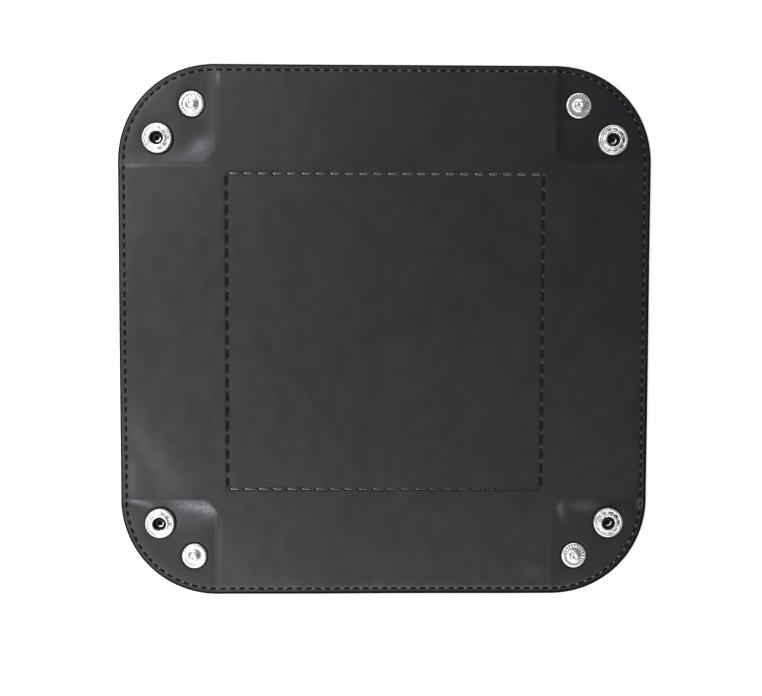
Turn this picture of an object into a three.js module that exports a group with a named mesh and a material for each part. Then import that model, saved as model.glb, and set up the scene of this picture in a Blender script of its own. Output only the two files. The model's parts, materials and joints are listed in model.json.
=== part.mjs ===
// A fold-flat snap tray, lying open: a leather lining and a leather cover over a stiff base board.
// Four walls fold up from the base, and each corner pinches outward into an ear that a ring-spring
// snap holds shut.
// Millimetres, +Z up, origin on the table under the middle of the base, +Y towards the back wall.
import * as THREE from "three";

// Sheet sizes
const BASE_SIDE = 127; // between the creases of opposite walls
const WALL_HEIGHT = 36.5; // from a wall's crease to its outer edge, and the round corners' radius
const LINING_THICKNESS = 1.0;
const COVER_THICKNESS = 1.0;
const BOARD_THICKNESS = 1.5;
const BOARD_INSET = 5.3; // from a wall's crease back to the board's edge

// Seams: the thread lies on the lining's face
const BASE_SEAM_INSET = 4; // from a wall's crease back to the seam round the board
const EDGE_SEAM_INSET = 2.2; // from a wall's outer edge back to the edge seam
const THREAD_WIDTH = 0.7;
const THREAD_RISE = 0.3;

// Corner pieces
const FLAP_TIP_RADIUS = 3; // where a flap begins, from the point where the creases meet
const STRIP_TIP_RADIUS = 8; // where the fold strip between two flaps begins

// Snaps: places on the flaps, then the metal pieces, heights measured from the lining's face
const SNAP_RADIUS = 23.3; // from the point where the creases meet
const SNAP_ANGLE = THREE.MathUtils.degToRad(22.2); // from the crease between wall and flap
const SOCKET_RADIUS = 5.6;
const SOCKET_HEIGHT = 3.0; // at the collar round the mouth
const SOCKET_RIM_HEIGHT = 2.1; // at the rolled outer rim
const SOCKET_RIM_ROLL = 0.4; // the rim's rounding
const SOCKET_FLOOR = 0.5;
const SOCKET_MOUTH_RADIUS = 2.5;
const SOCKET_MOUTH_LIP = 0.15; // the mouth's edge below the collar's crest
const SOCKET_COLLAR_WIDTH = 1.5; // from the mouth out to the collar's foot
const SPRING_WIRE_RADIUS = 0.35;
const SPRING_GAP_ANGLE = THREE.MathUtils.degToRad(40); // left open between the wire's two ends
const CAP_RADIUS = 6.0;
const CAP_FLAT_RADIUS = 3.0; // the flat that a cap stands on
const CAP_POST_RADIUS = 1.7;
const CAP_ROLL_RADIUS = 2.2; // the post's end, rolled outward over the socket's floor
const CAP_ROLL_HEIGHT = 0.4;
const STUD_RADIUS = 4.8;
const STUD_FLANGE = 0.8;
const STUD_FLANGE_ROLL = 0.4; // the flange's rounding
const STUD_HEIGHT = 3.2;
const STUD_HEAD_HEIGHT = 1.2; // the ball above the neck
const STUD_NECK_RADIUS = 1.7;
const STUD_HEAD_RADIUS = 1.9;
const STUD_CROWN_RADIUS = 1.2; // the flat on top of the ball
const STUD_WALL = 0.4;
const STUD_POST_HEAD_RADIUS = 5.2;
const STUD_POST_FLAT_RADIUS = 3.0; // the flat that a stud's post stands on
const STUD_POST_HEIGHT = 1.0;

// Clearances
const CREASE_GAP = 0.15; // each side of a crease
const BOARD_CLEARANCE = 0.3;
const HOLE_CLEARANCE = 0.3; // round a post
const SPRING_CLEARANCE = 0.15; // round the spring's wire
const SNAP_CLEARANCE = 1.0; // between a stud's flange and the socket over it
const MITRE_SPARE = THREE.MathUtils.degToRad(3); // past half the angle that a flap folds

// Facets of the round pieces
const SNAP_SIDES = 16;
const HOLE_SIDES = 12;
const ARC_STEPS = 10;
const ROUND_STEPS = 3;
const SPRING_STEPS = 18;
const SPRING_SIDES = 6;

// Levels: the lining's face is one plane, and the board stands in a pocket of the base cover
const boardTop = COVER_THICKNESS + BOARD_THICKNESS;
const faceZ = boardTop + LINING_THICKNESS;
const coverBottom = boardTop - COVER_THICKNESS;
const creaseHalf = BASE_SIDE / 2;
const boardHalf = creaseHalf - BOARD_INSET;

// The pinched corner: the snaps hold the linings this far apart, so the walls stop short of
// upright, and a narrow strip between the two flaps closes the ear. The angles follow from that.
const snapStack = SOCKET_HEIGHT + STUD_FLANGE + SNAP_CLEARANCE;
const wallCosine = snapStack / (Math.SQRT2 * SNAP_RADIUS * Math.cos(SNAP_ANGLE));
const wallAngle = Math.acos(wallCosine);
const flapAngle = Math.atan(1 / Math.sin(wallAngle));
const stripHalfAngle = Math.atan(wallCosine / (2 - wallCosine));
const mitre = Math.tan(flapAngle / 2 + MITRE_SPARE);
const EIGHTH = Math.PI / 4;

const tray = new THREE.Group();

const finishes = {
  lining: { color: 0x3a3a3e, roughness: 0.55, metalness: 0 },
  cover: { color: 0x2c2c2f, roughness: 0.6, metalness: 0 },
  board: { color: 0x8d8578, roughness: 0.9, metalness: 0 },
  thread: { color: 0x1b1b1d, roughness: 0.45, metalness: 0 },
  nickel: { color: 0xd9d8d4, roughness: 0.18, metalness: 1 },
  steel: { color: 0xb4b6b8, roughness: 0.3, metalness: 1 },
};

function addPiece(parent, name, finish, geometry) {
  const piece = new THREE.Mesh(geometry, new THREE.MeshStandardMaterial(finishes[finish]));
  piece.name = name;
  parent.add(piece);
  return piece;
}

// A flat panel between two heights. outlineAt(depth) gives its points, anticlockwise from above,
// at a depth below the lining's face, so that an edge may slope. Holes are clockwise and go
// straight through.
function panelGeometry(outlineAt, top, bottom, holes = []) {
  const upper = [outlineAt(faceZ - top), ...holes];
  const lower = [outlineAt(faceZ - bottom), ...holes];
  const points = [];
  upper.flat().forEach((p) => points.push(p.x, p.y, top));
  lower.flat().forEach((p) => points.push(p.x, p.y, bottom));
  const count = upper.flat().length;
  const faces = [];
  for (const [a, b, c] of THREE.ShapeUtils.triangulateShape(upper[0], holes)) {
    faces.push(a, b, c, count + c, count + b, count + a);
  }
  let first = 0;
  for (const ring of upper) {
    ring.forEach((_, i) => {
      const a = first + i;
      const b = first + ((i + 1) % ring.length);
      faces.push(count + a, count + b, b, count + a, b, a);
    });
    first += ring.length;
  }
  const geometry = new THREE.BufferGeometry();
  geometry.setAttribute("position", new THREE.Float32BufferAttribute(points, 3));
  geometry.setIndex(faces);
  return geometry;
}

// A turned piece: the profile is [radius, height] from the bottom up its outside.
function turned(profile, sides = SNAP_SIDES) {
  const points = profile.map(([radius, height]) => new THREE.Vector2(radius, height));
  return new THREE.LatheGeometry(points, sides).rotateX(Math.PI / 2);
}

// A square dish or frame: the profile is [half side, height], turned in four facets that face the axes.
function squareTurned(profile) {
  const corners = profile.map(([half, height]) => [half * Math.SQRT2, height]);
  return turned(corners, 4).rotateZ(EIGHTH);
}

// A quarter of an ellipse, as [radius, height], that starts level and ends upright
function quarterRound([startRadius, startHeight], [endRadius, endHeight]) {
  return Array.from({ length: ROUND_STEPS + 1 }, (_, i) => {
    const angle = ((i / ROUND_STEPS) * Math.PI) / 2;
    return [
      startRadius + (endRadius - startRadius) * Math.sin(angle),
      endHeight + (startHeight - endHeight) * Math.cos(angle),
    ];
  });
}

function polar(radius, angle) {
  return new THREE.Vector2(radius * Math.cos(angle), radius * Math.sin(angle));
}

function holeAt(centre, radius) {
  return Array.from({ length: HOLE_SIDES }, (_, i) =>
    polar(radius, (-2 * Math.PI * i) / HOLE_SIDES).add(centre),
  );
}

// Base: the cover is a dish that holds the board, with a rim that rises to the walls' level
function addBase() {
  const pocketHalf = boardHalf + BOARD_CLEARANCE;
  const footHalf = pocketHalf + COVER_THICKNESS;
  const rimHalf = creaseHalf - CREASE_GAP;
  const dish = [
    [0, 0],
    [footHalf, 0],
    [footHalf + BOARD_THICKNESS, coverBottom],
    [rimHalf, coverBottom],
    [rimHalf, boardTop],
    [pocketHalf, boardTop],
    [pocketHalf, COVER_THICKNESS],
    [0, COVER_THICKNESS],
  ];
  addPiece(tray, "base_cover", "cover", squareTurned(dish));

  const board = new THREE.BoxGeometry(2 * boardHalf, 2 * boardHalf, BOARD_THICKNESS);
  addPiece(tray, "base_board", "board", board.translate(0, 0, COVER_THICKNESS + BOARD_THICKNESS / 2));

  const lining = new THREE.BoxGeometry(2 * rimHalf, 2 * rimHalf, LINING_THICKNESS);
  addPiece(tray, "base_lining", "lining", lining.translate(0, 0, boardTop + LINING_THICKNESS / 2));

  const seamHalf = creaseHalf - BASE_SEAM_INSET;
  const thread = threadSection().map(([across, up]) => [seamHalf + across, faceZ + up]);
  addPiece(tray, "base_seam_thread", "thread", squareTurned([...thread, thread[0]]));
}

// A thread's section, [across, up], flat on the leather and narrower at its crown
function threadSection() {
  return [
    [-THREAD_WIDTH / 2, 0],
    [THREAD_WIDTH / 2, 0],
    [THREAD_WIDTH / 4, THREAD_RISE],
    [-THREAD_WIDTH / 4, THREAD_RISE],
  ];
}

// A wall, drawn as the back one and turned to its side. Its ends slope under the creases that its
// flaps fold on.
function addWall(side, quarterTurns) {
  const wall = new THREE.Group();
  wall.rotation.z = quarterTurns * 2 * EIGHTH;
  tray.add(wall);
  const inner = creaseHalf + CREASE_GAP;
  const outer = creaseHalf + WALL_HEIGHT;
  const outlineAt = (depth) => {
    const end = creaseHalf - CREASE_GAP - depth * mitre;
    return [
      new THREE.Vector2(-end, inner),
      new THREE.Vector2(end, inner),
      new THREE.Vector2(end, outer),
      new THREE.Vector2(-end, outer),
    ];
  };
  addPiece(wall, `${side}_wall_lining`, "lining", panelGeometry(outlineAt, faceZ, boardTop));
  addPiece(wall, `${side}_wall_cover`, "cover", panelGeometry(outlineAt, boardTop, coverBottom));

  const length = 2 * (creaseHalf - CREASE_GAP);
  const section = new THREE.Shape(threadSection().map(([across, up]) => new THREE.Vector2(across, up)));
  const thread = new THREE.ExtrudeGeometry(section, { depth: length, bevelEnabled: false });
  thread.translate(0, 0, -length / 2).rotateX(Math.PI / 2).rotateZ(Math.PI / 2);
  addPiece(wall, `${side}_wall_edge_thread`, "thread", thread.translate(0, outer - EDGE_SEAM_INSET, faceZ));
}

// A flap's outline about the corner point, with the ear's middle line along +X. One straight edge
// lies along the wall's crease, at an eighth of a turn, and slopes under it. The other lies along
// the fold strip.
function flapOutlineAt(turn, depth) {
  const creaseSide = CREASE_GAP + depth * mitre;
  const stripSide = CREASE_GAP;
  const onCrease = (radius) => EIGHTH - Math.asin(creaseSide / radius);
  const onStrip = (radius) => stripHalfAngle + Math.asin(stripSide / radius);
  const tip = FLAP_TIP_RADIUS;
  const rim = WALL_HEIGHT;
  const points = [polar(tip, onCrease(tip)), polar(tip, onStrip(tip))];
  for (let i = 0; i <= ARC_STEPS; i++) {
    points.push(polar(rim, THREE.MathUtils.lerp(onStrip(rim), onCrease(rim), i / ARC_STEPS)));
  }
  if (turn > 0) return points;
  return points.map((p) => new THREE.Vector2(p.x, -p.y)).reverse();
}

function addFlap(corner, name, turn, postRadius) {
  const centre = polar(SNAP_RADIUS, turn * (EIGHTH - SNAP_ANGLE));
  const hole = holeAt(centre, postRadius + HOLE_CLEARANCE);
  const outlineAt = (depth) => flapOutlineAt(turn, depth);
  addPiece(corner, `${name}_lining`, "lining", panelGeometry(outlineAt, faceZ, boardTop, [hole]));
  addPiece(corner, `${name}_cover`, "cover", panelGeometry(outlineAt, boardTop, coverBottom, [hole]));
  const seat = new THREE.Group();
  seat.position.set(centre.x, centre.y, faceZ);
  corner.add(seat);
  return seat;
}

// The narrow strip between two flaps, both leathers bonded together, that becomes the closed ear's edge
function addFoldStrip(corner, name) {
  const edgeAngle = (radius) => stripHalfAngle - Math.asin(CREASE_GAP / radius);
  const far = edgeAngle(WALL_HEIGHT);
  const near = edgeAngle(STRIP_TIP_RADIUS);
  const outline = [
    polar(STRIP_TIP_RADIUS, near),
    polar(STRIP_TIP_RADIUS, -near),
    polar(WALL_HEIGHT, -far),
    polar(WALL_HEIGHT, 0),
    polar(WALL_HEIGHT, far),
  ];
  addPiece(corner, name, "lining", panelGeometry(() => outline, faceZ, coverBottom));
}

// Cap and post, pressed through the leather from outside, with its end rolled over the socket's floor
function addSocketSnap(seat, name) {
  const foot = -faceZ;
  const under = coverBottom - faceZ;
  const rollTop = SOCKET_FLOOR + CAP_ROLL_HEIGHT;
  addPiece(seat, `${name}_cap`, "nickel", turned([
    [0, foot],
    ...quarterRound([CAP_FLAT_RADIUS, foot], [CAP_RADIUS, under]),
    [CAP_POST_RADIUS, under],
    [CAP_POST_RADIUS, SOCKET_FLOOR],
    [CAP_ROLL_RADIUS, SOCKET_FLOOR],
    [CAP_ROLL_RADIUS, rollTop],
    [0, rollTop],
  ]));

  const springMiddle = SOCKET_HEIGHT - 2 * (SPRING_WIRE_RADIUS + SPRING_CLEARANCE);
  const grooveHalf = SPRING_WIRE_RADIUS + SPRING_CLEARANCE;
  const springRadius = SOCKET_MOUTH_RADIUS + SPRING_WIRE_RADIUS;
  const grooveRadius = springRadius + grooveHalf;
  const wellRadius = CAP_ROLL_RADIUS + HOLE_CLEARANCE;
  const floorHole = CAP_POST_RADIUS + HOLE_CLEARANCE;
  const collarFoot = SOCKET_MOUTH_RADIUS + SOCKET_COLLAR_WIDTH;
  const collarCrest = SOCKET_MOUTH_RADIUS + SOCKET_COLLAR_WIDTH / 2;
  const socket = [
    [floorHole, 0],
    [SOCKET_RADIUS, 0],
    [SOCKET_RADIUS, SOCKET_RIM_HEIGHT - SOCKET_RIM_ROLL],
    [SOCKET_RADIUS - SOCKET_RIM_ROLL, SOCKET_RIM_HEIGHT],
    [collarFoot, SOCKET_RIM_HEIGHT - SOCKET_RIM_ROLL],
    [collarFoot, SOCKET_RIM_HEIGHT + SOCKET_RIM_ROLL],
    [collarCrest, SOCKET_HEIGHT],
    [SOCKET_MOUTH_RADIUS, SOCKET_HEIGHT - SOCKET_MOUTH_LIP],
    [SOCKET_MOUTH_RADIUS, springMiddle + grooveHalf],
    [grooveRadius, springMiddle + grooveHalf],
    [grooveRadius, springMiddle - grooveHalf],
    [wellRadius, springMiddle - grooveHalf],
    [wellRadius, SOCKET_FLOOR],
    [floorHole, SOCKET_FLOOR],
    [floorHole, 0],
  ];
  addPiece(seat, `${name}_socket`, "nickel", turned(socket));

  const spring = springGeometry(springRadius).translate(0, 0, springMiddle);
  addPiece(seat, `${name}_ring_spring`, "steel", spring);
}

// An open ring of round wire
function springGeometry(radius) {
  class OpenRing extends THREE.Curve {
    getPoint(t, target = new THREE.Vector3()) {
      const angle = SPRING_GAP_ANGLE / 2 + t * (2 * Math.PI - SPRING_GAP_ANGLE);
      return target.set(radius * Math.cos(angle), radius * Math.sin(angle), 0);
    }
  }
  const wire = Array.from({ length: SPRING_SIDES }, (_, i) =>
    polar(SPRING_WIRE_RADIUS, (2 * Math.PI * i) / SPRING_SIDES),
  );
  return new THREE.ExtrudeGeometry(new THREE.Shape(wire), {
    steps: SPRING_STEPS,
    extrudePath: new OpenRing(),
    bevelEnabled: false,
  });
}

// Stud, hollow from below, and the post pressed up into it from outside
function addStudSnap(seat, name, postRadius) {
  const bore = STUD_NECK_RADIUS - STUD_WALL;
  const boreTop = STUD_POST_HEIGHT + HOLE_CLEARANCE;
  addPiece(seat, `${name}_stud`, "nickel", turned([
    [bore, 0],
    [STUD_RADIUS, 0],
    [STUD_RADIUS, STUD_FLANGE - STUD_FLANGE_ROLL],
    [STUD_RADIUS - STUD_FLANGE_ROLL, STUD_FLANGE],
    [STUD_NECK_RADIUS, STUD_FLANGE],
    [STUD_NECK_RADIUS, STUD_HEIGHT - STUD_HEAD_HEIGHT],
    [STUD_HEAD_RADIUS, STUD_HEIGHT - STUD_HEAD_HEIGHT / 2],
    [STUD_CROWN_RADIUS, STUD_HEIGHT],
    [0, STUD_HEIGHT],
    [0, boreTop],
    [bore, boreTop],
    [bore, 0],
  ]));

  const foot = -faceZ;
  const under = coverBottom - faceZ;
  addPiece(seat, `${name}_stud_post`, "nickel", turned([
    [0, foot],
    ...quarterRound([STUD_POST_FLAT_RADIUS, foot], [STUD_POST_HEAD_RADIUS, under]),
    [postRadius, under],
    [postRadius, STUD_POST_HEIGHT],
    [0, STUD_POST_HEIGHT],
  ]));
}

// A corner, drawn with its middle line along +X and turned to its place. The stud's flap belongs to
// the front or back wall and the socket's flap to the left or right wall, so they change sides from
// corner to corner.
function addCorner(name, eighthTurns, studTurn) {
  const corner = new THREE.Group();
  const across = eighthTurns * EIGHTH;
  corner.position.set(creaseHalf * Math.sign(Math.cos(across)), creaseHalf * Math.sign(Math.sin(across)), 0);
  corner.rotation.z = across;
  tray.add(corner);
  const studPostRadius = STUD_NECK_RADIUS - STUD_WALL - HOLE_CLEARANCE;
  addStudSnap(addFlap(corner, `${name}_stud_flap`, studTurn, studPostRadius), name, studPostRadius);
  addSocketSnap(addFlap(corner, `${name}_socket_flap`, -studTurn, CAP_POST_RADIUS), name);
  addFoldStrip(corner, `${name}_fold_strip`);
}

addBase();
["back", "left", "front", "right"].forEach(addWall);
addCorner("back_left", 3, -1);
addCorner("front_left", 5, 1);
addCorner("front_right", 7, -1);
addCorner("back_right", 1, 1);

export default tray;
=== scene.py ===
# A fold-flat dice tray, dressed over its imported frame: two leathers with their seams, a board between
# them, and a ring-spring snap at each corner. Shapes are worked out in millimetres with the tray open
# and flat, and go into the meshes in metres.
import json
import math

import bmesh
import bpy
import numpy as np
from mathutils import Matrix, Vector


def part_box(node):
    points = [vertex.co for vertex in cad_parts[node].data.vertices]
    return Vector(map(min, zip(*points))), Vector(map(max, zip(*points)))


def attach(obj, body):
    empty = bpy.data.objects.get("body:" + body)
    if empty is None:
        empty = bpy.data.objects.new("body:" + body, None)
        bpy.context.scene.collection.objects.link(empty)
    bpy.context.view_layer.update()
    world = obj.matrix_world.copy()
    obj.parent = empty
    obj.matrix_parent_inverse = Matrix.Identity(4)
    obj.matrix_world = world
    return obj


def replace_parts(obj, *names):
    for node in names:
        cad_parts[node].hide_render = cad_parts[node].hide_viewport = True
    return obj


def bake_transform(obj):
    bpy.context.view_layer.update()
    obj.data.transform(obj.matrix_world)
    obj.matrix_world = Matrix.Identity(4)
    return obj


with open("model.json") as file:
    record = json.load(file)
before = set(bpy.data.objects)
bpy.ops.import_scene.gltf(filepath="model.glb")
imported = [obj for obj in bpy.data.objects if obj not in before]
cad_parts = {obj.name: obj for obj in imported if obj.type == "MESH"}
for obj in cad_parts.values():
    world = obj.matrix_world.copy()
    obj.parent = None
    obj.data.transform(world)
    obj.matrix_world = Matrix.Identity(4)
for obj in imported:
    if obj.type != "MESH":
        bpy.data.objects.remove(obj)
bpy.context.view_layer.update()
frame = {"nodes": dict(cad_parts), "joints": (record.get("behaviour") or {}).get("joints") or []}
millimetre = 0.001
tiny = 1e-6  # the least length that anything is divided by
halfCorner = math.pi / 4  # from a corner's diagonal to the walls beside it
joints = {joint["name"]: joint for joint in frame["joints"]}
sides = ("back", "left", "front", "right")  # each a quarter turn on from the one before
corners = ("back_left", "front_left", "front_right", "back_right")


def boxOf(node):
    low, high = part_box(node)
    return np.array(low) / millimetre, np.array(high) / millimetre


# Levels and distances that the frame holds
creaseHalf, faceZ = np.array(joints["back_wall_fold"]["pos_m"])[1:] / millimetre
outerHalf = boxOf("back_wall_lining")[1][1]
wallHeight = outerHalf - creaseHalf  # also the round corners' radius
layerZ = boxOf("back_wall_lining")[0][2]  # where lining and cover meet
coverZ = boxOf("back_wall_cover")[0][2]
boardLow, boardHigh = boxOf("base_board")
threadLow, threadHigh = boxOf("back_wall_edge_thread")
threadWidth = threadHigh[1] - threadLow[1]
edgeSeamInset = outerHalf - (threadLow[1] + threadHigh[1]) / 2
baseSeamHalf = boxOf("base_seam_thread")[1][0] - threadWidth / 2


# A unit direction in the sheet's plane
def heading(angle):
    return np.stack([np.cos(angle), np.sin(angle)], axis=-1)


def cornerOf(name):
    point = np.array(joints[f"{name}_stud_flap_fold"]["pos_m"])[:2] / millimetre
    diagonal = math.atan2(point[1], point[0])
    axis = np.array(joints[f"{name}_fold_strip_bend"]["axis"])[:2]
    edge = axis * np.sign(axis @ point)  # outward along the fold strip, beside the stud's flap
    lean = math.asin(edge @ heading(diagonal + math.pi / 2))
    return {"point": point, "diagonal": diagonal, "studTurn": int(np.sign(lean)), "stripHalf": abs(lean)}


def snapCentre(node):
    low, high = boxOf(node)
    return (low + high)[:2] / 2


cornerPlaces = {name: cornerOf(name) for name in corners}
stripHalf = cornerPlaces[corners[0]]["stripHalf"]
snapNames = [f"{name}_{kind}" for name in corners for kind in ("stud", "socket")]
snapCentres = {name: snapCentre(name) for name in snapNames}
print(f"frame: crease at {creaseHalf:.1f} mm, edge at {outerHalf:.1f} mm, face at {faceZ:.2f} mm")


# Materials

# A socket given as an input is linked, and anything else is set as the input's value
def fill(tree, made, inputs):
    for key, value in inputs.items():
        if isinstance(value, bpy.types.NodeSocket):
            tree.links.new(value, made.inputs[key])
        else:
            made.inputs[key].default_value = value


def addNode(tree, kind, inputs=None, **settings):
    made = tree.nodes.new("ShaderNode" + kind)
    for key, value in settings.items():
        setattr(made, key, value)
    fill(tree, made, inputs or {})
    return made


def calculate(tree, operation, *values):
    return addNode(tree, "Math", dict(enumerate(values)), operation=operation).outputs[0]


def mixColours(tree, factor, first, second):
    return addNode(tree, "Mix", {0: factor, 6: first, 7: second}, data_type="RGBA").outputs[2]


def spread(tree, value, fromLow, fromHigh, toLow=0.0, toHigh=1.0):
    inputs = {0: value, 1: fromLow, 2: fromHigh, 3: toLow, 4: toHigh}
    return addNode(tree, "MapRange", inputs, interpolation_type="SMOOTHSTEP").outputs[0]


def noise(tree, place, scale, detail):
    return addNode(tree, "TexNoise", {"Vector": place, "Scale": scale, "Detail": detail}).outputs[0]


def stretchedNoise(tree, place, scale, detail):
    return noise(tree, addNode(tree, "Mapping", {"Vector": place, "Scale": scale}).outputs[0], 1.0, detail)


def newGroup(name, inputs, outputs):
    tree = bpy.data.node_groups.new(name, "ShaderNodeTree")
    for socketName, kind in inputs.items():
        tree.interface.new_socket(socketName, in_out="INPUT", socket_type="NodeSocket" + kind)
    for socketName in outputs:
        tree.interface.new_socket(socketName, in_out="OUTPUT", socket_type="NodeSocketFloat")
    return tree, tree.nodes.new("NodeGroupInput").outputs, tree.nodes.new("NodeGroupOutput")


def useGroup(tree, group, **inputs):
    return addNode(tree, "Group", inputs, node_tree=group).outputs


# Pressed grain: rounded cells with finer noise over them. Place is in millimetres.
grainForm = {"fineScale": 7.0, "fineDetail": 3.0, "fineShare": 0.5}


def makeGrainGroup():
    tree, given, end = newGroup("leatherGrain", {"Place": "Vector", "Cells": "Float"}, ["Height"])
    cellInputs = {"Vector": given["Place"], "Scale": given["Cells"]}
    cells = addNode(tree, "TexVoronoi", cellInputs, feature="SMOOTH_F1").outputs[0]
    fine = noise(tree, given["Place"], grainForm["fineScale"], grainForm["fineDetail"])
    rounded = calculate(tree, "SUBTRACT", 1.0, cells)
    fill(tree, end, {"Height": calculate(tree, "MULTIPLY_ADD", fine, grainForm["fineShare"], rounded)})
    return tree


# Uneven sheen of a coated hide: broad clouds, and smaller patches a little longer from front to back
mottleForm = {"cloudScale": 0.035, "cloudDetail": 3.0, "cloudRange": (0.3, 0.7),
              "patchScale": (0.17, 0.12, 0.05), "patchDetail": 4.0, "patchRange": (0.25, 0.75)}


def makeMottleGroup():
    tree, given, end = newGroup("leatherMottle", {"Place": "Vector"}, ["Clouds", "Patches"])
    clouds = noise(tree, given["Place"], mottleForm["cloudScale"], mottleForm["cloudDetail"])
    patches = stretchedNoise(tree, given["Place"], mottleForm["patchScale"], mottleForm["patchDetail"])
    fill(tree, end, {"Clouds": spread(tree, clouds, *mottleForm["cloudRange"]),
                     "Patches": spread(tree, patches, *mottleForm["patchRange"])})
    return tree


# Rubs, and painted highlights along the creases, show as a haze where they are light, and as broken specks in
# the haze where they are heavy
rubAndHighlightForm = {"speckScale": 1.3, "speckDetail": 4.0, "speckLevel": 0.66, "heavy": 0.30, "range": (0.0, 0.2),
           "haze": 0.52}


def makeRubGroup():
    tree, given, end = newGroup("leatherRub", {"Place": "Vector", "Rub": "Float"}, ["Rubbed"])
    speck = noise(tree, given["Place"], rubAndHighlightForm["speckScale"], rubAndHighlightForm["speckDetail"])
    above = calculate(tree, "SUBTRACT", speck, rubAndHighlightForm["speckLevel"])
    cover = calculate(tree, "MULTIPLY_ADD", given["Rub"], rubAndHighlightForm["heavy"], above)
    broken = spread(tree, cover, *rubAndHighlightForm["range"], rubAndHighlightForm["haze"], 1.0)
    fill(tree, end, {"Rubbed": calculate(tree, "MULTIPLY", broken, given["Rub"])})
    return tree


# Needle holes: between two stitches, at each whole number along the seam, a bridge of leather stands up and a
# slot beside it leans across the seam; the slot is painted dark as the hole's shade. Sizes are millimetres.
holeForm = {"bottom": 0.4}  # the share of the slot that is fully dark with painted shade


def makeHoleGroup():
    sizes = ("Run", "Off", "Pitch", "Lean", "Gap", "Reach", "Width")
    tree, given, end = newGroup("needleHoles", dict.fromkeys(sizes, "Float"), ["Hole", "Bridge"])
    fromGap = calculate(tree, "SUBTRACT", given["Run"], calculate(tree, "ROUND", given["Run"]))
    along = calculate(tree, "MULTIPLY", fromGap, given["Pitch"])
    back = calculate(tree, "MULTIPLY", given["Lean"], -1.0)
    leaning = calculate(tree, "MULTIPLY_ADD", given["Off"], back, along)
    beside = calculate(tree, "DIVIDE", given["Off"], given["Reach"])
    besideSquared = calculate(tree, "MULTIPLY", beside, beside)
    fromSlot = calculate(tree, "SUBTRACT", leaning, given["Gap"])

    # How far a point is from an oval's middle, as a share of its half sizes
    def reachOf(distance, half):
        share = calculate(tree, "DIVIDE", distance, half)
        return calculate(tree, "SQRT", calculate(tree, "MULTIPLY_ADD", share, share, besideSquared))

    slot, bridge = reachOf(fromSlot, given["Width"]), reachOf(leaning, given["Gap"])
    fill(tree, end, {"Hole": spread(tree, slot, holeForm["bottom"], 1.0, 1.0, 0.0),
                     "Bridge": spread(tree, bridge, 0.0, 1.0, 1.0, 0.0)})
    return tree


# Dark where the painted edge begins, and a painted contact shadow in a ring round each snap
shadeForm = {"paintFull": 0.5, "shadowRingFull": 0.4}  # the shares of each width that are fully dark


def makeShadeGroup():
    sizes = dict.fromkeys(("Edge", "Snap", "Ring"), "Float")
    tree, given, end = newGroup("paintAndRings", sizes, ["Shade"])
    edgePaintAndShade = spread(tree, given["Edge"], shadeForm["paintFull"], 1.0, 1.0, 0.0)
    fromSnap = calculate(tree, "DIVIDE", given["Snap"], given["Ring"])
    ring = spread(tree, fromSnap, shadeForm["shadowRingFull"], 1.0, 1.0, 0.0)
    fill(tree, end, {"Shade": calculate(tree, "MAXIMUM", edgePaintAndShade, ring)})
    return tree


# Handling marks on metal: fine scratches that cross
scratchForm = {"scales": [(900.0, 9000.0, 4000.0), (8000.0, 1200.0, 4000.0)], "detail": 2.0,
               "range": (0.5, 0.85)}


def makeScratchGroup():
    tree, given, end = newGroup("fineScratches", {"Place": "Vector"}, ["Scratches"])
    place, detail = given["Place"], scratchForm["detail"]
    ways = [stretchedNoise(tree, place, scale, detail) for scale in scratchForm["scales"]]
    fill(tree, end, {"Scratches": spread(tree, calculate(tree, "MAXIMUM", *ways), *scratchForm["range"])})
    return tree


def newMaterial(name):
    material = bpy.data.materials.new(name)
    material.use_nodes = True
    return material, material.node_tree, material.node_tree.nodes["Principled BSDF"]


def attributeOf(tree, name, output="Fac"):
    return addNode(tree, "Attribute", attribute_name=name).outputs[output]


def bump(tree, height, depth, normal=None):
    inputs = {"Height": height, "Strength": 1.0, "Distance": depth * millimetre}
    if normal is not None:
        inputs["Normal"] = normal
    return addNode(tree, "Bump", inputs).outputs[0]


grainGroup, mottleGroup, rubAndHighlightGroup = makeGrainGroup(), makeMottleGroup(), makeRubGroup()
holeGroup, shadeGroup, scratchGroup = makeHoleGroup(), makeShadeGroup(), makeScratchGroup()

liningFinish = {
    "dark": (0.0100, 0.0097, 0.0120, 1.0),
    "pale": (0.0140, 0.0135, 0.0165, 1.0),
    # the pale colour of rubs, and of painted highlights on the creases and between stitches
    "rubbedAndHighlighted": (0.27, 0.267, 0.28, 1.0),
    "shade": (0.0012, 0.0012, 0.0013, 1.0),
    "roughness": 0.40,
    "rubbedDulling": 0.15,  # added to the roughness
    "shadeDulling": 0.5,
    "specular": 0.24,
    "coat": (0.44, 0.62),  # weight of the clear coat, between its dull and its bright patches
    "coatRoughness": 0.40,
    "grainCells": 1.9,  # to the millimetre
    "grainDepth": 0.014,
    "holeWidth": 0.34,
    "holeDepth": 0.3,
    "bridgeHeight": 0.16,
    "shadowRingWidth": 0.75,
}
coverFinish = dict(liningFinish, roughness=0.5, coatRoughness=0.5, grainCells=1.5, grainDepth=0.02)


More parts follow.
